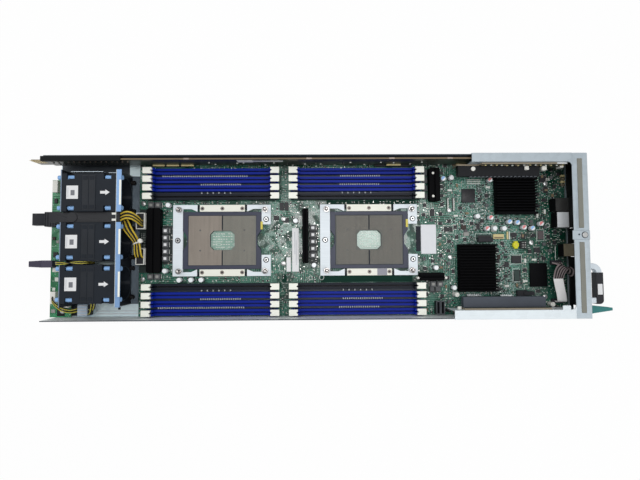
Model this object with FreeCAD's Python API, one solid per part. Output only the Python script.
import FreeCAD, Part
import math
import os

# One compute sled of a multi-node rack server with its lid and air duct off.
# Millimetres. Origin: centre of the tray's underside. +X is the rear panel end, +Z is up,
# and +Y is the side of the upright bridge board.

Vec = FreeCAD.Vector
X_AXIS = Vec(1, 0, 0)
Y_AXIS = Vec(0, 1, 0)
Z_AXIS = Vec(0, 0, 1)

# Sheet metal and clearances
sheet = 1.0
wall_drop = 5.0
gap = 0.3
hole_gap = 0.15
pivot_gap = 0.05

# Main board, along the sled: two memory banks with a socket each, then the rear zone
board_thickness = 1.9
standoff_height = 2.6
board_side_gap = 0.15
board_rear_gap = 4.5
bank_gap = 10.5
choke_to_bolster = 5.0
middle_zone = 55.1
bank_to_rear_zone = 24.8
bolster_to_rear_zone = 30.55
rear_zone = 138.7

# Main board, across the sled: margins, slot rows, strips beside the sockets
bridge_margin = 12.25
free_margin = 4.95
slot_pitch = 9.4
slots_per_bank = 4
upper_strip = 5.35
lower_strip = 7.85

# Memory slot and its end latches
slot_length = 148.6
slot_width = 6.5
slot_body_height = 7.8
slot_end = 2.0
tower_front = 4.6
tower_rear = 11.6
tower_height = 13.0
card_length = 133.6
card_groove = 1.6
groove_floor = 2.4
latch_stem = 3.0
latch_stem_front = 1.2
latch_stem_rear = 6.8
latch_foot = 2.6
latch_pad_length = 9.6
latch_pad_width = 6.6
latch_height = 16.5
latch_pivot_x = 4.4
latch_pivot_z = 4.0
trunnion_r = 1.0
trunnion_reach = 2.9
notch_width = 2.6
notch_depth = 1.8

# Processor sockets
bolster_end_gap = 0.4
bolster_side_gap = 3.3
bolster_height = 3.6
bolster_rail = 4.6
bolster_front_bar = 11.0
bolster_ear = 10.2
bolster_ear_upper = 22.0
bolster_ear_lower = 23.5
spring_bar_length = 50.0
spring_bar_step = 1.2
spring_bar_ramp = 7.0
spring_bar_gap = 2.6
spring_bar_hole_r = 1.1
spring_bar_hole_pitch = 22.0
socket_length = 86.6
socket_width = 63.6
socket_height = 4.2
socket_corner_r = 0.3
socket_notch_depth = 4.4
socket_notch_width = 22.0
socket_notch_floor = 9.0
contact_length = 75.4
contact_width = 55.4
contact_height = 0.9
contact_depth = 1.8
contact_seam = 0.8
window_length = 27.2
window_width = 21.4
window_chamfer = 4.0
stud_from_end = 4.4
stud_from_side = 2.4
stud_r = 2.0
stud_collar_r = 3.2
stud_collar_height = 3.0
stud_height = 8.0
bolster_screw_r = 2.3
bolster_screw_height = 1.2
bolster_screw_inset = 5.7

# Fans
fan_size = 40.0
fan_length = 56.0
fan_flange = 5.0
fan_pocket = 6.0
fan_pocket_gap = 0.8
fan_wall = 1.2
fan_hole_inset = 4.0
fan_hub_r = 10.5
fan_hub_length = 6.0
fan_strut = 2.2
axle_r = 1.5
axle_reach = 17.0
rotor_length = 17.0
rotor_hub_r = 10.2
rotor_tip_gap = 0.5
rotor_end_gap = 0.5
blade_chord = 17.0
blade_thickness = 1.1
blade_root_pitch = 32.0
blade_tip_pitch = 52.0
front_blades = 5
rear_blades = 7
fan_gap = 4.1
sleeve_gap = 0.55
fan_side_bay = 17.9
fan_bridge_bay = 19.5
fan_to_board = 11.1
bracket_top_flange = 4.4
bracket_foot = 8.0
bracket_overhang = 4.0
pin_r = 1.9
pin_head_r = 2.4
pin_outer_head = 4.5
pin_inner_head = 7.0

# Docking end
dock_bay = 23.4
dock_overhang = 6.0
dock_board_lift = 5.0
dock_board_thickness = 1.6
dock_board_upper = 66.0
plug_body_length = 17.0
plug_nose_length = 14.0
plug_width = 16.0
plug_height = 10.4
plug_shoulder = 1.4
plug_rib = 1.0
plug_ribs = 6
plug_cells = 4
plug_past_edge = 2.0
pilot_width = 7.8
pilot_body_length = 12.0
pilot_nose_length = 14.0
pilot_height = 9.6
pilot_taper = 0.8
pilot_y = -27.5
pilot_past_edge = 5.0
sleeve_width = 10.4
sleeve_top = 37.0
sleeve_height = 17.0
sleeve_boot = 11.7
sleeve_past_bracket = 1.3
sleeve_ring_r = 5.2
sleeve_ring_height = 0.9
sleeve_ring_setback = 12.0

# Bridge board
bridge_thickness = 1.8
bridge_wall_gap = 2.6
bridge_top = 37.0
bridge_length = 460.0
bridge_past_tray = 2.0
bridge_tongue = 13.0
bridge_tongue_low = 14.0
bridge_tongue_high = 32.0
bridge_socket_height = 3.5
bridge_socket_width = 5.0
bridge_socket_length = 42.0
bridge_guide_length = 84.0
bridge_guide_height = 5.0
bridge_guide_lip = 1.0
bridge_socket_1 = 4.0
bridge_socket_2 = 96.0

# Risers
riser_card_thickness = 1.6
riser_card_inset = 8.35
riser_card_top = 36.5
riser_card_length = 92.0
riser_base_height = 7.5
riser_base_width = 6.0
riser_base_length = 60.0
riser_slot_length = 89.0
riser_slot_reach = 11.2
riser_slot_width = 7.5
riser_slot_z = 20.0
riser_slot_groove = 1.7
riser_slot_depth = 7.8
riser_slot_end = 2.0
riser_1_from_rear = 117.5
riser_2_from_rear = 138.7
riser_card_setback = 12.0
# How far each card runs on in front of its tall part, only as high as its slot
riser_shoulder = [24.0, 0.0]
riser_shoulder_rise = 0.5

# Plain connectors on the board: x from the board's rear edge, centre y, length, width, height
plain_connectors = [(93.0, -3.2, 16.5, 4.6, 5.5), (45.5, -63.2, 12.0, 4.2, 5.0)]
# Drive ports: x from the board's rear edge
drive_ports = [148.3, 143.4]
drive_port_edge = 8.35
drive_port_length = 4.4
drive_port_width = 14.4
drive_port_height = 8.5
drive_port_wall = 1.0

# Rear panel, ports and gaskets
flange_depth = 16.5
tab_thickness = 0.8
tab_length = 18.4
tab_width = 9.6
gasket_width = 5.4
gasket_length = 74.0
gasket_inset = 5.6
gasket_from_middle = 7.5
vent_size = 4.0
vent_pitch = 5.6
vent_rows = 2
vent_columns = 13
vent_from_middle = 8.0
vent_low = 22.5
port_wall = 0.8
port_gap = 0.35
port_backstop = 8.0
# Each jack: depth in front of the panel, lower and upper y, height
jacks = [(22.5, 27.8, 42.3, 13.4), (21.0, 9.8, 26.6, 13.0), (14.0, -22.2, -8.4, 11.5)]

# Handle and latch lever
handle_reach = 20.4
handle_upper_y = -30.0
handle_lower_y = -73.0
handle_bar = 6.0
handle_low = 19.5
handle_height = 7.0
handle_upper_r = 10.0
handle_lower_r = 3.5
grip_wall = 0.8
lever_low = 7.5
lever_height = 10.0
lever_arm = 1.6
lever_wall_gap = 0.5
lever_pivot_from_rear = 52.0
lever_pin_r = 1.5
lever_eye_r = 2.8
lever_hook_from_rear = 24.0
lever_hook_length = 8.0
lever_hook_reach = 3.0
lever_window_margin = 2.5
finger_start = 1.8
finger_reach = 37.0
finger_root = 10.2
finger_waist = 1.2
finger_shoulder = 7.2
finger_heel = 14.4
finger_tip = 3.0

# Heat sinks and board parts
# Finned heat sinks: x from the board's rear edge, centre y, length, width
finned = {
    "network_heatsink": (59.0, 45.55, 45.8, 41.0),
    "chipset_heatsink": (103.5, -34.35, 42.4, 52.4),
}
fin_thickness = 1.1
fin_pitch = 3.1
heatsink_base = 3.0
heatsink_height = 9.3
package_height = 2.2
package_size = 24.0
# Bare packages: x from the board's rear edge, centre y, length, width, height
packages = [
    (110.0, 46.75, 15.5, 15.4, 1.6), (33.0, -42.85, 19.4, 26.6, 2.0),
    (56.8, -43.35, 7.5, 12.3, 1.4), (57.4, -25.55, 11.0, 7.8, 1.4),
]
inductor_size = 6.6
inductor_round = 0.6
inductor_edge = 0.5
choke_gap = 0.8
chokes_per_column = 5
column_1_y = 11.0
column_2_y = 13.6
inductor_height = 4.5
inductor_pitch = 7.7
bar_height = 8.5
bar_groove = 1.4
bar_round = 0.18
bar_1_width = 15.4
bar_1_length = 71.4
bar_2_width = 6.8
bar_2_length = 60.4
bar_2_setback = 13.1
bar_3_width = 12.0
bar_3_length = 38.0
bar_3_setback = 7.5
bar_3_edge = 8.4
bar_4_length = 27.5
bar_4_width = 8.6
bar_4_setback = 1.2
bar_4_from_bank = 7.5
bar_2_y = 4.6
bar_4_row_gap = 5.0
capacitor_r = 2.8
capacitor_height = 7.5
capacitor_base = 1.0
# Capacitors: x from a bolster's front or rear edge and y from its centre line, x from socket 1's centre
# in the strip below it, and (x from the board's rear edge, y) in the rear zone
front_1_capacitors = [(-4.9, 39.4), (-7.9, -33.6)]
front_2_capacitors = [(-7.1, -28.0), (-27.3, 21.4)]
rear_2_capacitors = [(19.9, -31.6)]
strip_capacitors = [-46.8, -33.8, -22.6]
rear_capacitors = [
    (139.7, 65.65), (130.4, 66.65), (87.2, 64.05), (87.0, 21.6), (102.0, 23.1), (66.1, 16.8), (57.2, 15.9),
    (91.3, 9.4), (83.0, 9.4), (72.4, 9.3), (50.0, 10.5), (40.7, 9.5), (30.8, 14.5), (129.5, -56.35),
]
screw_shank_r = 1.5
screw_head_r = 2.8
screw_head_height = 1.8
standoff_r = 2.6
screw_edge = 4.5
# Main board screws: (x from the front edge, y) at the fan end, (x from the rear edge, y) at the panel end
front_screws = [(screw_edge, 39.3), (screw_edge, -45.2)]
rear_screws = [(132.0, 30.6), (132.0, -22.4), (22.0, 60.3), (40.0, -6.5), (26.0, -67.3)]
# Between the sockets: x from the middle of their pitch, y from their centre line
middle_screws = [(-14.0, 24.0), (-14.0, -26.0)]
# Docking board screws: y
dock_screws = [44.0, -38.5, -79.5]

# Wires
power_wire_r = 1.1
power_wire_pitch = 2.6
power_bend_r = 4.2
power_lanes = 3
power_turn = 6.5
power_drop = 26.0
header_length = 18.0
header_width = 9.6
header_height = 12.5
header_wall = 1.0
header_edge_gap = 0.7
header_bar_gap = 0.35
header_upper = 21.4
header_lower = -17.6
fan_wire_r = 0.7
fan_wire_pitch = 1.7
fan_bend_r = 4.0
fan_lead_rise = 9.0
fan_lead_lead_in = 12.0
fan_lead_exit = 26.0
fan_lead_post = 6.0
fan_plug_width = 5.6
fan_plug_length = 13.2
fan_plug_height = 6.0
fan_plug_edge = 3.4
fan_plug_upper = 58.0
fan_plug_lower = -64.4
ribbon_width = 10.0
ribbon_thickness = 1.0
ribbon_bend_r = 6.0
ribbon_top = 20.0
ribbon_length = 44.0
ribbon_header_height = 3.5
ribbon_header_width = 5.0
ribbon_from_panel = 23.0
ribbon_y = -29.0

# Socket surrounds, from the socket's own size
bolster_front = socket_length / 2 + bolster_end_gap + bolster_front_bar
bolster_rear = socket_length / 2 + bolster_end_gap + bolster_ear
bolster_width = socket_width + 2 * (bolster_side_gap + bolster_rail)
spring_bar_width = bolster_rail + bolster_side_gap - gap
stud_spacing_x = socket_length + 2 * stud_from_end
stud_spacing_y = socket_width + 2 * stud_from_side

# Places along the board, measured from its front edge
bar_1_u = header_edge_gap + header_width + header_bar_gap
bank_1_u = bar_1_u - slot_end + hole_gap
socket_1_u = bar_1_u + bar_1_width + choke_gap + inductor_size + choke_to_bolster + bolster_front
bank_u = [bank_1_u, bank_1_u + slot_length + bank_gap]
socket_u = [socket_1_u, socket_1_u + bolster_rear + middle_zone + bolster_front]
bank_end_u = bank_u[1] + slot_length
rear_zone_u = max(bank_end_u + bank_to_rear_zone, socket_u[1] + bolster_rear + bolster_to_rear_zone)
board_length = rear_zone_u + rear_zone

# Sizes that follow
slot_rows = (slots_per_bank - 1) * slot_pitch
processor_zone = bolster_width + upper_strip + lower_strip + slot_width
board_width = bridge_margin + slot_rows + processor_zone + slot_rows + free_margin
cable_channel = sleeve_width + 2 * sleeve_gap
fan_row = fan_side_bay + 3 * fan_size + fan_gap + cable_channel + fan_bridge_bay
sled_width = max(board_width + 2 * board_side_gap, fan_row) + 2 * sheet
sled_length = sheet + board_rear_gap + board_length + fan_to_board + fan_length + dock_bay
sled_height = sheet + fan_size
wall_height = sled_height - wall_drop
fan_bore_r = fan_size / 2 - fan_wall
fan_hole_pitch = fan_size - 2 * fan_hole_inset
half_length = sled_length / 2
half_width = sled_width / 2
inner_width = half_width - sheet
half_board = board_width / 2
panel_inside = half_length - sheet
board_rear = panel_inside - board_rear_gap
board_front = board_rear - board_length
board_bottom = sheet + standoff_height
board_top = board_bottom + board_thickness
bank_x = [board_front + u for u in bank_u]
socket_x = [board_front + u for u in socket_u]
bank_end_x = board_front + bank_end_u
lower_inner_row = -half_board + free_margin + slot_rows
socket_y = lower_inner_row + slot_width / 2 + lower_strip + bolster_width / 2
fan_rear = board_front - fan_to_board
fan_front = fan_rear - fan_length
fan_z = sheet + fan_size / 2
fan_3_y = -inner_width + fan_side_bay + fan_size / 2
fan_2_y = fan_3_y + fan_size + fan_gap
fan_1_y = fan_2_y + fan_size + cable_channel
fan_y = [fan_1_y, fan_2_y, fan_3_y]
channel_y = fan_2_y + (fan_size + cable_channel) / 2
fan_gap_y = fan_3_y + (fan_size + fan_gap) / 2
bracket_rear = fan_rear + gap
bracket_front = fan_front - gap
dock_board_bottom = sheet + dock_board_lift
dock_board_top = dock_board_bottom + dock_board_thickness
dock_board_front = -half_length - dock_overhang
dock_board_rear = bracket_front - sheet - pin_outer_head - gap
plug_rear = dock_board_front + plug_body_length - plug_past_edge
bridge_outer = half_board - bridge_wall_gap
bridge_inner = bridge_outer - bridge_thickness
bridge_front = -half_length - bridge_past_tray
flange_top = sled_height - tab_thickness
riser_card_outer = half_board - riser_card_inset
riser_card_inner = riser_card_outer - riser_card_thickness
riser_from_rear = [riser_1_from_rear, riser_2_from_rear]
riser_bracket_low = board_top + drive_port_height + gap
flange_front = half_length - flange_depth
handle_feet = [handle_upper_y - handle_bar / 2, handle_lower_y + handle_bar / 2]
lever_pivot_x = half_length - lever_pivot_from_rear
lever_pivot_y = -inner_width + lever_wall_gap + lever_eye_r
lever_top = lever_low + lever_height
header_x = board_front + header_edge_gap + header_width / 2
header_y = [socket_y + header_upper, socket_y + header_lower]


# Solid helpers
def box(x0, x1, y0, y1, z0, z1):
    return Part.makeBox(x1 - x0, y1 - y0, z1 - z0, Vec(x0, y0, z0))


def rod_z(x, y, z0, z1, r):
    return Part.makeCylinder(r, z1 - z0, Vec(x, y, z0), Z_AXIS)


def rod_x(x0, x1, y, z, r):
    return Part.makeCylinder(r, x1 - x0, Vec(x0, y, z), X_AXIS)


def rod_y(x, y0, y1, z, r):
    return Part.makeCylinder(r, y1 - y0, Vec(x, y0, z), Y_AXIS)


def join(solids):
    return solids[0].multiFuse(solids[1:]).removeSplitter()


def prism_z(points, z0, z1):
    corners = [Vec(x, y, z0) for x, y in points]
    outline = Part.makePolygon(corners + corners[:1])
    return Part.Face(outline).extrude(Vec(0, 0, z1 - z0))


def rounded_box(x0, x1, y0, y1, z0, z1, r):
    """A box whose four upright edges are rounded."""
    block = box(x0, x1, y0, y1, z0, z1)
    upright = [e for e in block.Edges if abs(e.tangentAt(e.FirstParameter).z) > 0.9]
    return block.makeFillet(r, upright)


def chamfered_top(block, size):
    """The block with the edges of its top face chamfered."""
    top = block.BoundBox.ZMax
    edges = [e for e in block.Edges if abs(e.BoundBox.ZMin - top) < 1e-6]
    return block.makeChamfer(size, edges)


def wire(points, wire_r, bend_r):
    """A round wire through points, its corners turned by arcs of one radius."""
    spots = [Vec(*p) for p in points]
    edges = []
    start = spots[0]
    for before, corner, after in zip(spots, spots[1:], spots[2:]):
        inward = (before - corner).normalize()
        outward = (after - corner).normalize()
        turn = math.pi - inward.getAngle(outward)
        setback = bend_r * math.tan(turn / 2)
        middle = (inward + outward).normalize() * (bend_r / math.cos(turn / 2) - bend_r)
        edges.append(Part.LineSegment(start, corner + inward * setback).toShape())
        arc = Part.Arc(corner + inward * setback, corner + middle, corner + outward * setback)
        edges.append(arc.toShape())
        start = corner + outward * setback
    edges.append(Part.LineSegment(start, spots[-1]).toShape())
    section = Part.Wire([Part.makeCircle(wire_r, spots[0], spots[1] - spots[0])])
    return Part.Wire(edges).makePipeShell([section], True, True)


def offset_route(route, side):
    """A plan route of (x, y) points moved sideways, its corners mitred."""
    moved = []
    for index, spot in enumerate(route):
        here = Vec(spot[0], spot[1], 0)
        normals = []
        if index > 0:
            run = here - Vec(route[index - 1][0], route[index - 1][1], 0)
            normals.append(Z_AXIS.cross(run.normalize()))
        if index < len(route) - 1:
            run = Vec(route[index + 1][0], route[index + 1][1], 0) - here
            normals.append(Z_AXIS.cross(run.normalize()))
        total = normals[0]
        if len(normals) == 2:
            total = (normals[0] + normals[1]) / (1 + normals[0].dot(normals[1]))
        spot_moved = here + total * side
        moved.append((spot_moved.x, spot_moved.y))
    return moved


def export(name, solids):
    shape = solids[0] if len(solids) == 1 else Part.makeCompound(solids)
    shape.exportStep("parts/" + name + ".step")


# Sheet-metal body
def tray():
    floor = box(-half_length, half_length, -half_width, half_width, 0, sheet)
    upper = box(-half_length, half_length, inner_width, half_width, sheet, wall_height)
    lower = box(-half_length, half_length, -half_width, -inner_width, sheet, wall_height)
    hook_x = half_length - lever_hook_from_rear
    window = box(
        hook_x - lever_window_margin, hook_x + lever_hook_length + lever_window_margin,
        -half_width - gap, -inner_width + gap, lever_low - gap, lever_top + gap,
    )
    return [join([floor, upper, lower]).cut(window)]


def gasket_boxes(z0, z1):
    x1 = half_length - gasket_inset
    x0 = x1 - gasket_width
    near = gasket_from_middle
    far = gasket_from_middle + gasket_length
    return [box(x0, x1, near, far, z0, z1), box(x0, x1, -far, -near, z0, z1)]


def rear_panel():
    plate = box(panel_inside, half_length, -inner_width, inner_width, sheet, wall_height)
    crown = box(panel_inside, half_length, -half_width, half_width, wall_height, flange_top)
    flange = box(flange_front, panel_inside, -half_width, half_width, flange_top - sheet, flange_top)
    tab = box(half_length - tab_length, half_length, -tab_width / 2, tab_width / 2, flange_top, sled_height)
    panel = join([plate, crown, flange, tab])
    cuts = gasket_boxes(flange_top - sheet, flange_top)
    past = panel_inside - gap
    for _, y0, y1, height in jacks:
        z1 = board_top + height + port_gap
        cuts.append(box(past, half_length + gap, y0 - port_gap, y1 + port_gap, board_top - port_gap, z1))
    for side in (-1, 1):
        for column in range(vent_columns):
            y = side * (vent_from_middle + column * vent_pitch)
            if any(abs(y - foot) < (handle_bar + vent_pitch) / 2 for foot in handle_feet):
                continue
            for row in range(vent_rows):
                z = vent_low + row * vent_pitch
                half = vent_size / 2
                cuts.append(box(past, half_length + gap, y - half, y + half, z, z + vent_size))
    lever_slot = box(
        past, half_length + gap, -inner_width - gap, -inner_width + finger_root,
        lever_low - gap, lever_top + gap,
    )
    return [panel.cut(Part.makeCompound(cuts)).cut(lever_slot)]


def emi_gaskets():
    return gasket_boxes(flange_top - sheet, flange_top + gap)


# Boards and their fasteners
def screw_places():
    """Main board screws: (x, y)."""
    middle_x = (socket_x[0] + socket_x[1]) / 2
    spots = [(board_front + dx, y) for dx, y in front_screws]
    spots += [(middle_x + dx, socket_y + dy) for dx, dy in middle_screws]
    spots += [(board_rear - dx, y) for dx, y in rear_screws]
    return spots


def main_board():
    plate = box(board_front, board_rear, -half_board, half_board, board_bottom, board_top)
    holes = [
        rod_z(x, y, board_bottom - gap, board_top + gap, screw_shank_r + hole_gap)
        for x, y in screw_places()
    ]
    return [plate.cut(Part.makeCompound(holes))]


def dock_screw_places():
    x = (-half_length + dock_board_rear) / 2
    return [(x, y) for y in dock_screws]


def screw_post(x, y, z0, underside, top):
    """A standoff with the screw that holds a board on it."""
    post = rod_z(x, y, z0, underside, standoff_r)
    shank = rod_z(x, y, underside, top, screw_shank_r)
    head = chamfered_top(rod_z(x, y, top, top + screw_head_height, screw_head_r), screw_head_height / 3)
    return join([post, shank, head])


def board_fasteners():
    posts = [screw_post(x, y, sheet, board_bottom, board_top) for x, y in screw_places()]
    posts += [
        screw_post(x, y, sheet, dock_board_bottom, dock_board_top) for x, y in dock_screw_places()
    ]
    panel_screw = rod_z(half_length - gasket_inset, 0, sled_height, sled_height + tab_thickness, screw_head_r)
    return posts + [panel_screw]


def power_docking_board():
    plate = box(
        dock_board_front, dock_board_rear, -inner_width + board_side_gap, dock_board_upper,
        dock_board_bottom, dock_board_top,
    )
    holes = [
        rod_z(x, y, dock_board_bottom - gap, dock_board_top + gap, screw_shank_r + hole_gap)
        for x, y in dock_screw_places()
    ]
    return [plate.cut(Part.makeCompound(holes))]


def docking_plug_power():
    body_front = plug_rear - plug_body_length
    half = plug_width / 2
    z1 = dock_board_top + plug_height
    y = channel_y
    body = box(body_front, plug_rear, y - half, y + half, dock_board_top, z1)
    nose = box(
        body_front - plug_nose_length, body_front, y - half + plug_shoulder, y + half - plug_shoulder,
        dock_board_top + plug_shoulder, z1 - plug_shoulder,
    )
    plug = join([body, nose])
    step = plug_body_length / plug_ribs
    cuts = []
    for index in range(plug_ribs):
        x0 = body_front + index * step + plug_rib
        cuts.append(box(x0, x0 + step - plug_rib, y - half, y + half, z1 - plug_rib / 2, z1))
    cell_pitch = (plug_width - 2 * plug_shoulder) / plug_cells
    for index in range(plug_cells):
        y0 = y - half + plug_shoulder + (index + 0.5) * cell_pitch - cell_pitch / 3
        cuts.append(box(
            body_front - plug_nose_length, body_front, y0, y0 + cell_pitch * 2 / 3,
            dock_board_top + 2 * plug_shoulder, z1 - 2 * plug_shoulder,
        ))
    return [plug.cut(Part.makeCompound(cuts))]


def docking_plug_guide():
    rear = dock_board_front + pilot_body_length - pilot_past_edge
    front = rear - pilot_body_length
    half = pilot_width / 2
    z1 = dock_board_top + pilot_height
    body = box(front, rear, pilot_y - half, pilot_y + half, dock_board_top, z1)
    nose = prism_z(
        [
            (front, pilot_y - half), (front, pilot_y + half),
            (front - pilot_nose_length, pilot_y + half - pilot_taper),
            (front - pilot_nose_length, pilot_y - half + pilot_taper),
        ],
        dock_board_top + pilot_taper, z1 - pilot_taper,
    )
    return [join([body, nose])]


def bridge_socket_places():
    """Front ends of the two sockets that carry the bridge board."""
    return [bank_x[0] + bridge_socket_1, bank_x[1] + bridge_socket_2]


def bridge_board():
    low = board_top + bridge_socket_height
    plate = box(bridge_front, bridge_front + bridge_length, bridge_inner, bridge_outer, low, bridge_top)
    tongue = box(
        bridge_front - bridge_tongue, bridge_front, bridge_inner, bridge_outer,
        bridge_tongue_low, bridge_tongue_high,
    )
    return [join([plate, tongue])]


def bridge_board_guide():
    top = bridge_top + bridge_guide_lip
    outer = box(
        bridge_front, bridge_front + bridge_guide_length, bridge_inner - bridge_guide_lip,
        inner_width - gap, top - bridge_guide_height, top,
    )
    groove = box(
        bridge_front, bridge_front + bridge_guide_length, bridge_inner, bridge_outer,
        top - bridge_guide_height, bridge_top,
    )
    return [outer.cut(groove)]


# Fans
def fan_corners(y):
    half = fan_hole_pitch / 2
    return [(y + a * half, fan_z + b * half) for a in (-1, 1) for b in (-1, 1)]


def fan_frame(y):
    """A square housing with a round bore, pockets for the rubber pins, and a hub with the axle."""
    half = fan_size / 2
    middle_x = (fan_front + fan_rear) / 2
    pocket_x = [
        (fan_front + fan_flange, fan_front + fan_flange + pin_inner_head + fan_pocket_gap),
        (fan_rear - fan_flange - pin_inner_head - fan_pocket_gap, fan_rear - fan_flange),
    ]
    housing = box(fan_front, fan_rear, y - half, y + half, sheet, sled_height)
    cuts = [rod_x(fan_front, fan_rear, y, fan_z, fan_bore_r)]
    for hole_y, hole_z in fan_corners(y):
        cuts.append(rod_x(fan_front, fan_front + fan_flange, hole_y, hole_z, pin_r + hole_gap))
        cuts.append(rod_x(fan_rear - fan_flange, fan_rear, hole_y, hole_z, pin_r + hole_gap))
        low_y = y - half if hole_y < y else y + half - fan_pocket
        low_z = sheet if hole_z < fan_z else sled_height - fan_pocket
        for x0, x1 in pocket_x:
            cuts.append(box(x0, x1, low_y, low_y + fan_pocket, low_z, low_z + fan_pocket))
            cuts.append(rod_x(x0, x1, hole_y, hole_z, pin_head_r + hole_gap))
    shell = housing.cut(Part.makeCompound(cuts))
    hub_x0 = middle_x - fan_hub_length / 2
    hub_x1 = middle_x + fan_hub_length / 2
    hub = rod_x(hub_x0, hub_x1, y, fan_z, fan_hub_r)
    axle = rod_x(hub_x0 - axle_reach, hub_x1 + axle_reach, y, fan_z, axle_r)
    reach = fan_bore_r + (half - fan_bore_r) / 2
    strut = fan_strut / 2
    across = box(hub_x0, hub_x1, y - reach, y + reach, fan_z - strut, fan_z + strut)
    upright = box(hub_x0, hub_x1, y - strut, y + strut, fan_z - reach, fan_z + reach)
    return [join([shell, hub, axle, across, upright])]


def blade_outline(radius, pitch, x):
    """A blade's section at one radius: a thin slanted rectangle across the radius."""
    slant = math.radians(pitch)
    along = Vec(math.cos(slant), math.sin(slant), 0) * (blade_chord / 2)
    across = Vec(-math.sin(slant), math.cos(slant), 0) * (blade_thickness / 2)
    corners = [along + across, across - along, -along - across, along - across]
    spots = [Vec(x + c.x, c.y, radius) for c in corners]
    return Part.makePolygon(spots + spots[:1])


def fan_rotor(y, rear):
    middle_x = (fan_front + fan_rear) / 2
    side = 1 if rear else -1
    near = middle_x + side * (fan_hub_length / 2 + rotor_end_gap)
    far = near + side * rotor_length
    x0 = min(near, far)
    x1 = max(near, far)
    blades = rear_blades if rear else front_blades
    tip_r = fan_bore_r - rotor_tip_gap
    root = blade_outline(rotor_hub_r - blade_thickness, side * blade_root_pitch, (x0 + x1) / 2)
    tip = blade_outline(fan_bore_r, side * blade_tip_pitch, (x0 + x1) / 2)
    blade = Part.makeLoft([root, tip], True, True)
    solids = [rod_x(x0, x1, 0, 0, rotor_hub_r)]
    for index in range(blades):
        turned = blade.copy()
        turned.rotate(Vec(0, 0, 0), X_AXIS, index * 360.0 / blades)
        solids.append(turned)
    swept = rod_x(x0, x1, 0, 0, tip_r)
    rotor = join(solids).common(swept)
    rotor = rotor.cut(rod_x(x0, x1, 0, 0, axle_r + pivot_gap))
    rotor.translate(Vec(0, y, fan_z))
    return [rotor.Solids[0]]


def bracket_plate(x0, flange_side):
    """One fan bracket: an upright plate with fan openings, a foot and a cable notch."""
    x1 = x0 + sheet
    upper = fan_1_y + fan_size / 2 + bracket_overhang
    lower = fan_3_y - fan_size / 2 - bracket_overhang
    plate = box(x0, x1, lower, upper, sheet, sled_height)
    if flange_side > 0:
        flange = box(x1, x1 + bracket_top_flange, lower, upper, sled_height - sheet, sled_height)
        foot = box(x1, x1 + bracket_foot, lower, upper, sheet, 2 * sheet)
        plate = join([plate, flange, foot])
    else:
        foot = box(x0 - bracket_foot, x0, lower, upper, sheet, 2 * sheet)
        plate = join([plate, foot])
    cuts = []
    for y in fan_y:
        cuts.append(rod_x(x0, x1, y, fan_z, fan_bore_r))
        for hole_y, hole_z in fan_corners(y):
            cuts.append(rod_x(x0, x1, hole_y, hole_z, pin_r + hole_gap))
    half = sleeve_width / 2 + gap
    notch_low = sleeve_top - sleeve_height - gap
    far = x1 + bracket_top_flange
    cuts.append(box(x0, far, channel_y - half, channel_y + half, notch_low, sled_height))
    if flange_side < 0:
        half = fan_gap / 2
        low = sleeve_top - 2 * fan_bend_r
        cuts.append(box(x0, x1, fan_gap_y - half, fan_gap_y + half, low, sled_height))
    return plate.cut(Part.makeCompound(cuts))


def fan_brackets():
    return [bracket_plate(bracket_front - sheet, -1), bracket_plate(bracket_rear, 1)]


def isolator(y, z, outer_face, inner_face):
    """A rubber pin: a bulb outside the bracket, a neck, and a bulb inside the fan flange."""
    side = 1 if outer_face > inner_face else -1
    tip = outer_face + side * pin_outer_head
    end = inner_face - side * pin_inner_head
    neck = rod_x(min(outer_face, inner_face), max(outer_face, inner_face), y, z, pin_r)
    outer = rod_x(min(outer_face, tip), max(outer_face, tip), y, z, pin_head_r)
    inner = rod_x(min(inner_face, end), max(inner_face, end), y, z, pin_head_r)
    return join([neck, outer, inner])


def fan_isolators():
    pins = []
    for y in fan_y:
        for pin_y, pin_z in fan_corners(y):
            pins.append(isolator(pin_y, pin_z, bracket_front - sheet, fan_front + fan_flange))
            pins.append(isolator(pin_y, pin_z, bracket_rear + sheet, fan_rear - fan_flange))
    return pins


# Memory slots
def row_places():
    """Slot centre lines: the upper bank's and the lower bank's, outermost first."""
    upper = [half_board - bridge_margin - i * slot_pitch for i in range(slots_per_bank)]
    lower = [-half_board + free_margin + i * slot_pitch for i in range(slots_per_bank)]
    return [upper, lower]


def memory_slot(x, y):
    x_end = x + slot_length
    half = slot_width / 2
    body = box(x + slot_end, x_end - slot_end, y - half, y + half, board_top, board_top + slot_body_height)
    tower_z = board_top + tower_height
    towers = [
        box(x + tower_front, x + tower_rear, y - half, y + half, board_top, tower_z),
        box(x_end - tower_rear, x_end - tower_front, y - half, y + half, board_top, tower_z),
    ]
    groove = card_groove / 2
    inset = (slot_length - card_length) / 2
    stem = latch_stem / 2 + hole_gap
    stem_floor = board_top + slot_end / 2
    pocket = latch_stem_rear + slot_end
    pivot_z = board_top + latch_pivot_z
    cuts = [box(x + inset, x_end - inset, y - groove, y + groove, board_top + groove_floor, tower_z)]
    cuts.append(box(x, x + pocket, y - stem, y + stem, stem_floor, tower_z))
    cuts.append(box(x_end - pocket, x_end, y - stem, y + stem, stem_floor, tower_z))
    for pivot_x in (x + latch_pivot_x, x_end - latch_pivot_x):
        cuts.append(rod_y(pivot_x, y - half, y + half, pivot_z, trunnion_r + pivot_gap))
    return join([body] + towers).cut(Part.makeCompound(cuts))


def memory_slots(black):
    """The slot next to each socket is black, the other three are blue."""
    slots = []
    for x in bank_x:
        for rows in row_places():
            chosen = rows[-1:] if black else rows[:-1]
            slots += [memory_slot(x, y) for y in chosen]
    return slots


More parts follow.
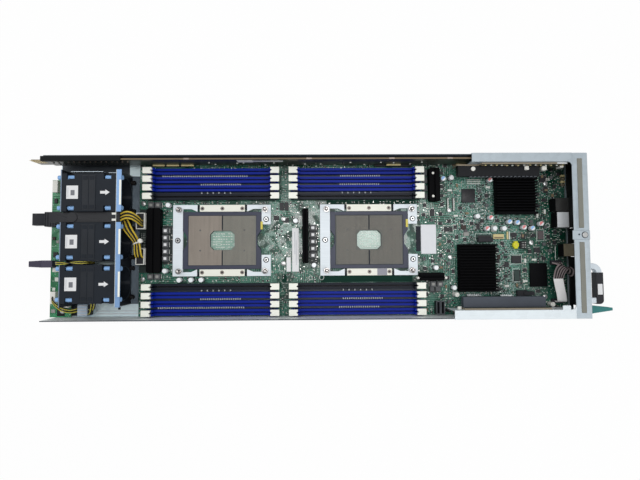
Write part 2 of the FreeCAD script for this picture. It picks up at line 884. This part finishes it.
def memory_latch(x, y, inward):
    """An end latch: stem between the tower's cheeks, trunnions, and a notched thumb pad."""
    def span(a, b, y_half, z0, z1):
        return box(
            min(x + inward * a, x + inward * b), max(x + inward * a, x + inward * b),
            y - y_half, y + y_half, board_top + z0, board_top + z1,
        )

    pad_low = tower_height + gap
    stem = span(latch_stem_front, latch_stem_rear, latch_stem / 2, latch_foot, latch_height)
    pad = span(0, latch_pad_length, latch_pad_width / 2, pad_low, latch_height)
    trunnion = rod_y(
        x + inward * latch_pivot_x, y - trunnion_reach, y + trunnion_reach,
        board_top + latch_pivot_z, trunnion_r,
    )
    tip = x + inward * latch_pad_length
    notch = prism_z(
        [
            (tip, y - notch_width / 2), (tip - inward * notch_depth, y), (tip, y + notch_width / 2),
        ],
        board_top + pad_low, board_top + latch_height,
    )
    return join([stem, pad, trunnion]).cut(notch)


# Processor sockets
def bolster_plate(x, y):
    x0 = x - bolster_front
    x1 = x + bolster_rear
    y0 = y - bolster_width / 2
    y1 = y + bolster_width / 2
    top = board_top + bolster_height
    plate = box(x0, x1, y0, y1, board_top, top)
    cuts = [box(
        x0 + bolster_front_bar, x1 - bolster_ear, y0 + bolster_rail, y1 - bolster_rail, board_top, top,
    )]
    cuts.append(box(x1 - bolster_ear, x1, y0 + bolster_ear_lower, y1 - bolster_ear_upper, board_top, top))
    bar0 = x - spring_bar_length / 2
    bar1 = x + spring_bar_length / 2
    step_z = top - spring_bar_step
    holes = []
    bars = []
    for edge, inward in ((y0, 1), (y1, -1)):
        rail = edge + inward * bolster_rail
        inner = edge + inward * spring_bar_width
        low_y = min(rail, inner)
        high_y = max(rail, inner)
        bars.append(box(bar0, bar1, low_y, high_y, board_top, top))
        for start, away in ((bar0 - spring_bar_gap, -1), (bar1 + spring_bar_gap, 1)):
            far = start + away * spring_bar_ramp
            bars.append(prism_z([(start, rail), (start, inner), (far, rail)], board_top, top))
            gap_far = start - away * spring_bar_gap
            cuts.append(box(
                min(start, gap_far), max(start, gap_far), min(edge, rail), max(edge, rail), step_z, top,
            ))
        for index in (-1, 0, 1):
            hole_x = x + index * spring_bar_hole_pitch
            holes.append(rod_z(hole_x, (edge + inner) / 2, step_z, top, spring_bar_hole_r))
    plate = plate.cut(Part.makeCompound(cuts))
    return [join([plate] + bars).cut(Part.makeCompound(holes))]


def window_outline(x, y):
    a = window_length / 2
    b = window_width / 2
    c = window_chamfer
    return [
        (x - a, y - b + c), (x - a + c, y - b), (x + a - c, y - b), (x + a, y - b + c),
        (x + a, y + b - c), (x + a - c, y + b), (x - a + c, y + b), (x - a, y + b - c),
    ]


def contact_floor():
    return board_top + socket_height - contact_depth


def cpu_socket(x, y):
    top = board_top + socket_height
    a = socket_length / 2
    b = socket_width / 2
    body = rounded_box(x - a, x + a, y - b, y + b, board_top, top, socket_corner_r)
    pocket = box(
        x - contact_length / 2, x + contact_length / 2, y - contact_width / 2, y + contact_width / 2,
        contact_floor(), top,
    )
    window = prism_z(window_outline(x, y), board_top, top)
    body = body.cut(pocket).cut(window)
    for side in (-1, 1):
        edge = x + side * a
        depth = edge - side * socket_notch_depth
        mouth = socket_notch_width / 2
        floor = socket_notch_floor / 2
        body = body.cut(prism_z(
            [(edge, y - mouth), (depth, y - floor), (depth, y + floor), (edge, y + mouth)], board_top, top,
        ))
    return [body]


def socket_contacts():
    fields = []
    for x in socket_x:
        window = prism_z(window_outline(x, socket_y), board_top, board_top + socket_height)
        for side in (-1, 1):
            inner = x + side * contact_seam / 2
            outer = x + side * (contact_length / 2 - hole_gap)
            half = contact_width / 2 - hole_gap
            z0 = contact_floor()
            field = box(
                min(inner, outer), max(inner, outer), socket_y - half, socket_y + half,
                z0, z0 + contact_height,
            )
            fields.append(field.cut(window))
    return fields


def stud_places(x, y):
    return [
        (x + a * stud_spacing_x / 2, y + b * stud_spacing_y / 2) for a in (-1, 1) for b in (-1, 1)
    ]


def heatsink_studs():
    studs = []
    base = board_top + bolster_height
    for x in socket_x:
        for stud_x, stud_y in stud_places(x, socket_y):
            collar = rod_z(stud_x, stud_y, base, base + stud_collar_height, stud_collar_r)
            post = rod_z(stud_x, stud_y, base, base + stud_height, stud_r)
            studs.append(join([collar, chamfered_top(post, stud_r / 3)]))
    return studs


def bolster_screws():
    base = board_top + bolster_height
    front = -bolster_front + bolster_front_bar / 2
    rear = bolster_rear - bolster_ear / 2
    spots = [
        (front, 0),
        (rear, bolster_width / 2 - bolster_ear_upper + bolster_screw_inset),
        (rear, -bolster_width / 2 + bolster_ear_lower - bolster_screw_inset),
    ]
    screws = []
    for x in socket_x:
        for dx, dy in spots:
            head = rod_z(x + dx, socket_y + dy, base, base + bolster_screw_height, bolster_screw_r)
            screws.append(chamfered_top(head, bolster_screw_height / 3))
    return screws


# Heat sinks and small board parts
def finned_heatsink(name):
    from_rear, y, length, width = finned[name]
    x = board_rear - from_rear
    z0 = board_top + package_height
    z1 = z0 + heatsink_height
    block = box(x - length / 2, x + length / 2, y - width / 2, y + width / 2, z0, z1)
    count = int((width - fin_thickness) / fin_pitch)
    first = y - width / 2 + (width - (count * fin_pitch + fin_thickness)) / 2
    cuts = []
    for index in range(count):
        y0 = first + index * fin_pitch + fin_thickness
        y1 = y0 + fin_pitch - fin_thickness
        cuts.append(box(x - length / 2, x + length / 2, y0, y1, z0 + heatsink_base, z1))
    return [block.cut(Part.makeCompound(cuts))]


def bar_places():
    """Regulator heat sink bars: x0, x1, y0, y1."""
    first = board_front + bar_1_u
    second = socket_x[1] - bolster_front - bar_2_setback - bar_2_width
    third = bank_end_x + bar_3_setback
    choke_pair = 2 * inductor_pitch - gap
    fourth_end = max(
        bank_end_x + bar_4_from_bank + choke_pair,
        socket_x[1] + bolster_rear + bar_4_setback + bar_4_length,
    )
    third_y = half_board - bar_3_edge
    fourth_y = lower_inner_row + bar_4_row_gap
    return [
        (first, first + bar_1_width, socket_y - bar_1_length / 2, socket_y + bar_1_length / 2),
        (
            second, second + bar_2_width,
            socket_y + bar_2_y - bar_2_length / 2, socket_y + bar_2_y + bar_2_length / 2,
        ),
        (third, third + bar_3_width, third_y - bar_3_length, third_y),
        (fourth_end - bar_4_length, fourth_end, fourth_y, fourth_y + bar_4_width),
    ]


def vr_heatsinks():
    bars = []
    for x0, x1, y0, y1 in bar_places():
        top = board_top + bar_height
        narrow = min(x1 - x0, y1 - y0)
        bar = rounded_box(x0, x1, y0, y1, board_top, top, narrow * bar_round)
        groove = bar_groove / 2
        depth = top - bar_groove
        if x1 - x0 < y1 - y0:
            middle = (x0 + x1) / 2
            slot = box(middle - groove, middle + groove, y0, y1, depth, top)
        else:
            middle = (y0 + y1) / 2
            slot = box(x0, x1, middle - groove, middle + groove, depth, top)
        bars.append(bar.cut(slot))
    return bars


def inductor(x, y):
    half = inductor_size / 2
    block = rounded_box(
        x - half, x + half, y - half, y + half, board_top, board_top + inductor_height, inductor_round,
    )
    return chamfered_top(block, inductor_edge)


def vr_inductors():
    """A column beside each long bar, pairs at the ends of the first bar and below the fourth."""
    first, second, _, fourth = bar_places()
    half = inductor_size / 2
    chokes = []
    for index in range(chokes_per_column):
        shift = index * inductor_pitch
        chokes.append(inductor(first[1] + choke_gap + half, socket_y + column_1_y - shift))
        chokes.append(inductor(second[1] + 2 * choke_gap + half, socket_y + column_2_y - shift))
    for index in range(2):
        shift = half + index * inductor_pitch
        chokes.append(inductor(first[0] + shift, first[3] + choke_gap + half))
        chokes.append(inductor(first[0] + shift, first[2] - choke_gap - half))
        chokes.append(inductor(fourth[1] + gap - 2 * inductor_pitch + shift, fourth[2] - choke_gap - half))
    return chokes


def capacitor_places():
    """Can capacitors: (x, y)."""
    first, second = socket_x
    strip_y = socket_y - (bolster_width + lower_strip) / 2
    spots = [(first - bolster_front + dx, socket_y + dy) for dx, dy in front_1_capacitors]
    spots += [(second - bolster_front + dx, socket_y + dy) for dx, dy in front_2_capacitors]
    spots += [(second + bolster_rear + dx, socket_y + dy) for dx, dy in rear_2_capacitors]
    spots += [(first + dx, strip_y) for dx in strip_capacitors]
    spots += [(board_rear - dx, y) for dx, y in rear_capacitors]
    return spots


def capacitors():
    cans = []
    for x, y in capacitor_places():
        half = capacitor_r
        base = rounded_box(
            x - half, x + half, y - half, y + half, board_top, board_top + capacitor_base, half / 3,
        )
        can = rod_z(x, y, board_top + capacitor_base, board_top + capacitor_height, capacitor_r - hole_gap)
        cans.append(join([base, chamfered_top(can, capacitor_r / 6)]))
    return cans


def package(from_rear, y, length, width, height):
    x = board_rear - from_rear
    block = box(
        x - length / 2, x + length / 2, y - width / 2, y + width / 2, board_top, board_top + height,
    )
    return chamfered_top(block, height / 4)


def chips():
    """Packages under the heat sinks, and the larger bare packages of the rear zone."""
    covered = [
        package(from_rear, y, package_size, package_size, package_height)
        for from_rear, y, _, _ in finned.values()
    ]
    return covered + [package(*sizes) for sizes in packages]


# Risers
def riser_span(index):
    """Front and rear x of a riser card."""
    x0 = board_rear - riser_from_rear[index] + riser_card_setback
    return x0, x0 + riser_card_length


def riser_card(index, side):
    """A card on edge; one of them has a low shoulder in front, behind its slot."""
    x0, x1 = riser_span(index)
    inner = side * riser_card_inner
    outer = side * riser_card_outer
    z0 = board_top + riser_base_height
    low_y = min(inner, outer)
    high_y = max(inner, outer)
    card = box(x0, x1, low_y, high_y, z0, riser_card_top)
    if riser_shoulder[index]:
        shoulder_top = riser_slot_z + riser_slot_width + riser_shoulder_rise
        card = join([card, box(x0 - riser_shoulder[index], x0, low_y, high_y, z0, shoulder_top)])
    return [card]


def riser_bracket(index, side):
    """Upright plate behind the card, top flange to the wall, and a lip that sits on the wall."""
    x0 = board_rear - riser_from_rear[index]
    x1 = flange_front - gap

    def strip(a, b, z0, z1):
        return box(x0, x1, min(side * a, side * b), max(side * a, side * b), z0, z1)

    plate = strip(riser_card_outer, riser_card_outer + sheet, riser_bracket_low, sled_height)
    flange = strip(riser_card_outer + sheet, half_width, sled_height - sheet, sled_height)
    lip = strip(inner_width, half_width, wall_height, sled_height - sheet)
    solids = [plate, flange, lip]
    if side < 0:
        pin_low = lever_low - gap
        solids.append(rod_z(lever_pivot_x, lever_pivot_y, pin_low, sled_height - sheet, lever_pin_r))
    return [join(solids)]


def riser_slot(index, side):
    inner = side * (riser_card_inner - riser_slot_reach)
    outer = side * riser_card_inner
    a = riser_span(index)[0] - riser_shoulder[index] + (riser_card_length - riser_slot_length) / 2
    b = a + riser_slot_length
    block = box(
        a, b, min(inner, outer), max(inner, outer), riser_slot_z, riser_slot_z + riser_slot_width,
    )
    z = riser_slot_z + riser_slot_width / 2
    depth = inner + side * riser_slot_depth
    groove = box(
        a + riser_slot_end, b - riser_slot_end, min(inner, depth), max(inner, depth),
        z - riser_slot_groove / 2, z + riser_slot_groove / 2,
    )
    return block.cut(groove)


def ribbon_header_places():
    """Centre y of the two headers that the ribbon cable joins."""
    return [ribbon_y, ribbon_y - ribbon_length + ribbon_thickness]


def ribbon_x():
    return panel_inside - ribbon_from_panel


def drive_port(x, y):
    """An upright drive connector with an open well."""
    a = drive_port_length / 2
    b = drive_port_width / 2
    c = drive_port_wall
    top = board_top + drive_port_height
    shell = box(x - a, x + a, y - b, y + b, board_top, top)
    return shell.cut(box(x - a + c, x + a - c, y - b + c, y + b - c, board_top + c, top))


def board_connectors():
    blocks = []
    for index, side in ((0, 1), (1, -1)):
        x0, x1 = riser_span(index)
        middle = (x0 + x1) / 2
        y = side * (riser_card_inner + riser_card_outer) / 2
        half = riser_base_width / 2
        blocks.append(riser_slot(index, side))
        blocks.append(box(
            middle - riser_base_length / 2, middle + riser_base_length / 2, y - half, y + half,
            board_top, board_top + riser_base_height,
        ))
    y = (bridge_inner + bridge_outer) / 2
    half = bridge_socket_width / 2
    for x in bridge_socket_places():
        blocks.append(box(
            x, x + bridge_socket_length, y - half, y + half, board_top, board_top + bridge_socket_height,
        ))
    for from_rear, y, length, width, height in plain_connectors:
        x = board_rear - from_rear
        blocks.append(box(
            x - length / 2, x + length / 2, y - width / 2, y + width / 2, board_top, board_top + height,
        ))
    port_y = -half_board + drive_port_edge
    blocks += [drive_port(board_rear - from_rear, port_y) for from_rear in drive_ports]
    half = ribbon_header_width / 2
    for y in ribbon_header_places():
        blocks.append(box(
            ribbon_x() - sheet, ribbon_x() + ribbon_width + sheet, y - half, y + half,
            board_top, board_top + ribbon_header_height,
        ))
    return blocks


# Wires and their connectors
def power_header(y):
    half_x = header_width / 2
    half_y = header_length / 2
    top = board_top + header_height
    shell = box(header_x - half_x, header_x + half_x, y - half_y, y + half_y, board_top, top)
    well = box(
        header_x - half_x + header_wall, header_x + half_x - header_wall,
        y - half_y + header_wall, y + half_y - header_wall, top - header_wall, top,
    )
    return shell.cut(well)


def fan_plug_places():
    """Fan connectors on the docking board: (x, y) centres."""
    x = dock_board_front + fan_plug_edge + fan_plug_width / 2
    return [(x, fan_plug_upper), (x, fan_plug_lower)]


def wire_connectors():
    blocks = [power_header(y) for y in header_y]
    for x, y in fan_plug_places():
        half_x = fan_plug_width / 2
        half_y = fan_plug_length / 2
        blocks.append(box(
            x - half_x, x + half_x, y - half_y, y + half_y,
            dock_board_top, dock_board_top + fan_plug_height,
        ))
    return blocks


def cable_sleeve():
    half = sleeve_width / 2
    rear = bracket_rear + sheet + sleeve_past_bracket
    low = sleeve_top - sleeve_height
    run = box(plug_rear, rear, channel_y - half, channel_y + half, low, sleeve_top)
    boot = box(plug_rear, plug_rear + sleeve_boot, channel_y - half, channel_y + half, dock_board_top, low)
    ring = rod_z(
        plug_rear + sleeve_boot + sleeve_ring_setback, channel_y, sleeve_top,
        sleeve_top + sleeve_ring_height, sleeve_ring_r,
    )
    return [join([run, boot, ring])]


def upper_wire(lane, layer):
    """From the sleeve straight to the rear, then down into the upper header."""
    start = bracket_rear + sheet + sleeve_past_bracket
    y = channel_y + (lane - 1) * power_wire_pitch
    z = sleeve_top - 2 * power_wire_r - layer * power_wire_pitch
    x = header_x + power_wire_pitch / 2 - layer * power_wire_pitch
    floor = board_top + header_height - header_wall
    return wire([(start, y, z), (x, y, z), (x, y, floor)], power_wire_r, power_bend_r)


def lower_wire(lane, layer):
    """From the sleeve round towards the lower header, then down into it."""
    start = bracket_rear + sheet + sleeve_past_bracket
    z = sleeve_top - sleeve_height + 2 * power_wire_r + (1 - layer) * power_wire_pitch
    y_in = header_y[1] + power_wire_pitch / 2 - (1 - layer) * power_wire_pitch
    plan = [
        (start, channel_y - power_wire_pitch / 2),
        (start + power_turn, channel_y - power_wire_pitch / 2),
        (header_x, channel_y - power_drop),
        (header_x, y_in),
    ]
    route = [(x, y, z) for x, y in offset_route(plan, (lane - 1) * power_wire_pitch)]
    floor = board_top + header_height - header_wall
    route.append((route[-1][0], route[-1][1], floor))
    return wire(route, power_wire_r, power_bend_r)


def power_wires(layers):
    wires = []
    for lane in range(power_lanes):
        for layer in layers:
            wires.append(upper_wire(lane, layer))
            wires.append(lower_wire(lane, layer))
    return wires


def fan_leads():
    """Leads from the docking board to the fans: one pair beside fan 3, one between fans 2 and 3."""
    plug_x, plug_y = fan_plug_places()[1]
    top = dock_board_top + fan_plug_height
    fan_side = fan_3_y - fan_size / 2
    lane_y = fan_side - fan_side_bay / 2
    plan = [
        (plug_x, plug_y), (plug_x + fan_lead_lead_in, lane_y),
        (fan_front + fan_lead_exit, lane_y), (fan_front + fan_lead_exit, fan_side),
    ]
    leads = []
    for index in (-1, 1):
        shift = index * fan_wire_pitch / 2
        route = [(x, y, top + fan_lead_rise) for x, y in offset_route(plan, shift)]
        route.insert(0, (route[0][0], route[0][1], top))
        leads.append(wire(route, fan_wire_r, fan_bend_r))
        start_x = dock_board_rear - fan_lead_post
        leads.append(wire(
            [
                (start_x, fan_gap_y + shift, dock_board_top), (start_x, fan_gap_y + shift, sleeve_top),
                (fan_front + fan_lead_exit, fan_gap_y + shift, sleeve_top),
                (fan_front + fan_lead_exit, fan_gap_y + shift, fan_z),
            ],
            fan_wire_r, fan_bend_r,
        ))
    return leads


def arch(x0, x1, y0, y1, z0, z1, thickness, bend_r):
    """A flat strip that rises, runs along y and comes down again."""
    def outline(inset, r):
        block = box(x0, x1, y0 + inset, y1 - inset, z0 - 2 * bend_r, z1 - inset)
        top = z1 - inset
        edges = [e for e in block.Edges if abs(e.BoundBox.ZMin - top) < 1e-6]
        along_x = [e for e in edges if e.BoundBox.XLength > 0.5 * (x1 - x0)]
        return block.makeFillet(r, along_x)

    strip = outline(0, bend_r).cut(outline(thickness, bend_r - thickness))
    return strip.common(box(x0, x1, y0, y1, z0, z1))


def ribbon_cable():
    upper, lower = ribbon_header_places()
    half = ribbon_thickness / 2
    return [arch(
        ribbon_x(), ribbon_x() + ribbon_width, lower - half, upper + half,
        board_top + ribbon_header_height, ribbon_top, ribbon_thickness, ribbon_bend_r,
    )]


def io_ports():
    """Shielded jacks, each a metal shell open to the rear."""
    shells = []
    rear = half_length - gap
    for depth, y0, y1, height in jacks:
        x0 = panel_inside - depth
        z1 = board_top + height
        shell = box(x0, rear, y0, y1, board_top, z1)
        mouth = box(
            x0 + port_backstop, rear, y0 + port_wall, y1 - port_wall,
            board_top + port_wall, z1 - port_wall,
        )
        shells.append(shell.cut(mouth))
    return shells


# Handle and latch lever
def handle_loop(inset, low, high):
    """The area inside the handle's outline, seen from above and moved inwards by an amount."""
    x0 = half_length
    x1 = half_length + handle_reach - inset
    y1 = handle_upper_y - inset
    y0 = handle_lower_y + inset
    upper_r = max(handle_upper_r - inset, grip_wall)
    lower_r = max(handle_lower_r - inset, grip_wall)
    diagonal = math.sqrt(0.5)
    upper_mid = Vec(x1 - upper_r * (1 - diagonal), y1 - upper_r * (1 - diagonal), low)
    lower_mid = Vec(x1 - lower_r * (1 - diagonal), y0 + lower_r * (1 - diagonal), low)
    a = Vec(x0, y1, low)
    b = Vec(x1 - upper_r, y1, low)
    c = Vec(x1, y1 - upper_r, low)
    d = Vec(x1, y0 + lower_r, low)
    e = Vec(x1 - lower_r, y0, low)
    f = Vec(x0, y0, low)
    edges = [
        Part.LineSegment(a, b).toShape(), Part.Arc(b, upper_mid, c).toShape(),
        Part.LineSegment(c, d).toShape(), Part.Arc(d, lower_mid, e).toShape(),
        Part.LineSegment(e, f).toShape(), Part.LineSegment(f, a).toShape(),
    ]
    return Part.Face(Part.Wire(edges)).extrude(Vec(0, 0, high - low))


def pull_handle():
    high = handle_low + handle_height
    return handle_loop(0, handle_low, high).cut(handle_loop(handle_bar, handle_low, high))


def handle_grip():
    """A moulded sleeve round the bar, from below the upper bend to past the lower corner."""
    low = handle_low - grip_wall
    high = handle_low + handle_height + grip_wall
    ring = handle_loop(-grip_wall, low, high).cut(handle_loop(handle_bar + grip_wall, low, high))
    x1 = half_length + handle_reach + grip_wall
    reach = box(
        x1 - handle_bar - 2 * grip_wall, x1, handle_lower_y - grip_wall, handle_upper_y - handle_upper_r,
        low, high,
    )
    return [ring.common(reach).cut(pull_handle())]


def latch_lever():
    """A side latch: eye on the pin, arm along the wall, hook through the wall, finger tab outside."""
    outer = -inner_width + lever_wall_gap
    inner = outer + lever_arm
    eye = rod_z(lever_pivot_x, lever_pivot_y, lever_low, lever_top, lever_eye_r)
    start = half_length + finger_start
    arm = box(lever_pivot_x, start + finger_start, outer, inner, lever_low, lever_top)
    hook_x = half_length - lever_hook_from_rear
    hook = prism_z(
        [
            (hook_x, inner), (hook_x, outer), (hook_x + lever_hook_length, outer - lever_hook_reach),
            (hook_x + lever_hook_length, inner),
        ],
        lever_low, lever_top,
    )
    tip = half_length + finger_reach
    tip_y = outer + (finger_root + finger_waist) / 2
    finger = prism_z(
        [
            (start, outer), (start, outer + finger_root - finger_start),
            (start + finger_shoulder, outer + finger_root), (tip, tip_y + finger_tip / 2),
            (tip, tip_y - finger_tip / 2), (start + finger_heel, outer + finger_waist),
            (start + finger_shoulder, outer),
        ],
        lever_low, lever_top,
    )
    bore = rod_z(lever_pivot_x, lever_pivot_y, lever_low, lever_top, lever_pin_r + pivot_gap)
    return [join([eye, arm, hook, finger]).cut(bore)]


# Every node by name
os.makedirs("parts", exist_ok=True)

export("tray", tray())
export("rear_panel", rear_panel())
export("emi_gaskets", emi_gaskets())
export("main_board", main_board())
export("board_fasteners", board_fasteners())
export("power_docking_board", power_docking_board())
export("docking_plug_power", docking_plug_power())
export("docking_plug_guide", docking_plug_guide())
export("bridge_board", bridge_board())
export("bridge_board_guide", bridge_board_guide())
export("fan_brackets", fan_brackets())
export("fan_isolators", fan_isolators())
for number, y in enumerate(fan_y, start=1):
    export(f"fan_frame_{number}", fan_frame(y))
    export(f"fan_{number}_front_rotor", fan_rotor(y, False))
    export(f"fan_{number}_rear_rotor", fan_rotor(y, True))

export("dimm_slots_blue", memory_slots(False))
export("dimm_slots_black", memory_slots(True))
for number, x in enumerate(bank_x, start=1):
    for place, rows in zip(("upper", "lower"), row_places()):
        front = [memory_latch(x, y, 1) for y in rows]
        rear = [memory_latch(x + slot_length, y, -1) for y in rows]
        export(f"dimm_latches_{place}_{number}_front", front)
        export(f"dimm_latches_{place}_{number}_rear", rear)

for number, x in enumerate(socket_x, start=1):
    export(f"cpu_socket_{number}", cpu_socket(x, socket_y))
    export(f"bolster_plate_{number}", bolster_plate(x, socket_y))
export("socket_contacts", socket_contacts())
export("heatsink_studs", heatsink_studs())
export("bolster_screws", bolster_screws())

for name in finned:
    export(name, finned_heatsink(name))
export("vr_heatsinks", vr_heatsinks())
export("vr_inductors", vr_inductors())
export("capacitors", capacitors())
export("chips", chips())
export("board_connectors", board_connectors())
for index, side in ((0, 1), (1, -1)):
    export(f"riser_card_{index + 1}", riser_card(index, side))
    export(f"riser_bracket_{index + 1}", riser_bracket(index, side))

export("wire_connectors", wire_connectors())
export("power_wires_yellow", power_wires([0]))
export("power_wires_black", power_wires([1]))
export("cable_sleeve", cable_sleeve())
export("fan_leads", fan_leads())
export("ribbon_cable", ribbon_cable())
export("io_ports", io_ports())
export("pull_handle", [pull_handle()])
export("handle_grip", handle_grip())
export("latch_lever", latch_lever())
